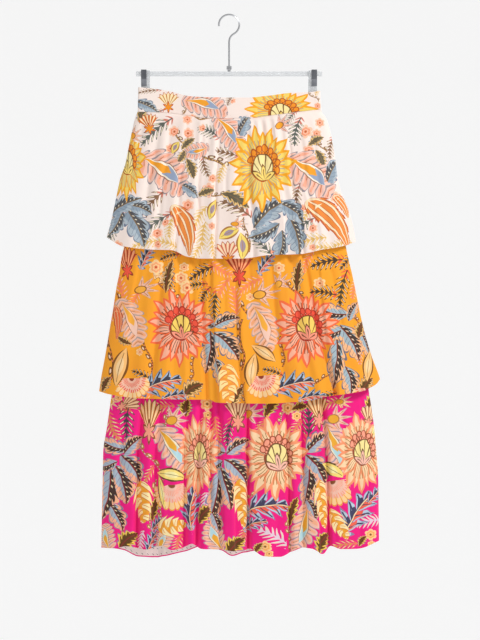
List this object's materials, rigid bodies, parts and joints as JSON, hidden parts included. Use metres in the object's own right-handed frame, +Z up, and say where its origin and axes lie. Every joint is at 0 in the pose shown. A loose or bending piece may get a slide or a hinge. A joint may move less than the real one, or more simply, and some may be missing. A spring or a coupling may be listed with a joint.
{
  "type": "midi skirt on a clip hanger",
  "caption": "Tiered gathered midi skirt in floral cream, marigold and hot pink flounces, hanging closed and flat from a slim clip hanger with a wire hook.",
  "frame": {"origin": "inside top of the hanger's hook, where it sits on a rail", "axes": "+Z up, +X to the viewer's right, the skirt's front faces -Y"},
  "size_m": [0.5224, 0.1032, 1.0134],
  "materials": {
    "cream_print": "matt woven cotton with a floral print on pinkish cream",
    "marigold_print": "matt woven cotton with a floral print on marigold",
    "pink_print": "matt woven cotton with a floral print on hot pink",
    "underskirt_cloth": "plain pale voile",
    "hanger_plastic": "pale clear-looking moulding",
    "hanger_steel": "bright wire",
    "spring_steel": "dark grey sprung strip"
  },
  "bodies": {
    "root": {"waistband_front": "cream_print", "waistband_back": "cream_print", "tier_one_front": "cream_print", "tier_one_back": "cream_print", "tier_two_front": "marigold_print", "tier_two_back": "marigold_print", "tier_three_front": "pink_print", "tier_three_back": "pink_print", "underskirt_front": "underskirt_cloth", "underskirt_back": "underskirt_cloth", "hanger_bar": "hanger_plastic", "hanger_collar": "hanger_steel", "hanger_hook": "hanger_steel", "clip_left": "hanger_plastic", "clip_right": "hanger_plastic", "spring_left": "spring_steel", "spring_right": "spring_steel"}
  },
  "joints": []
}
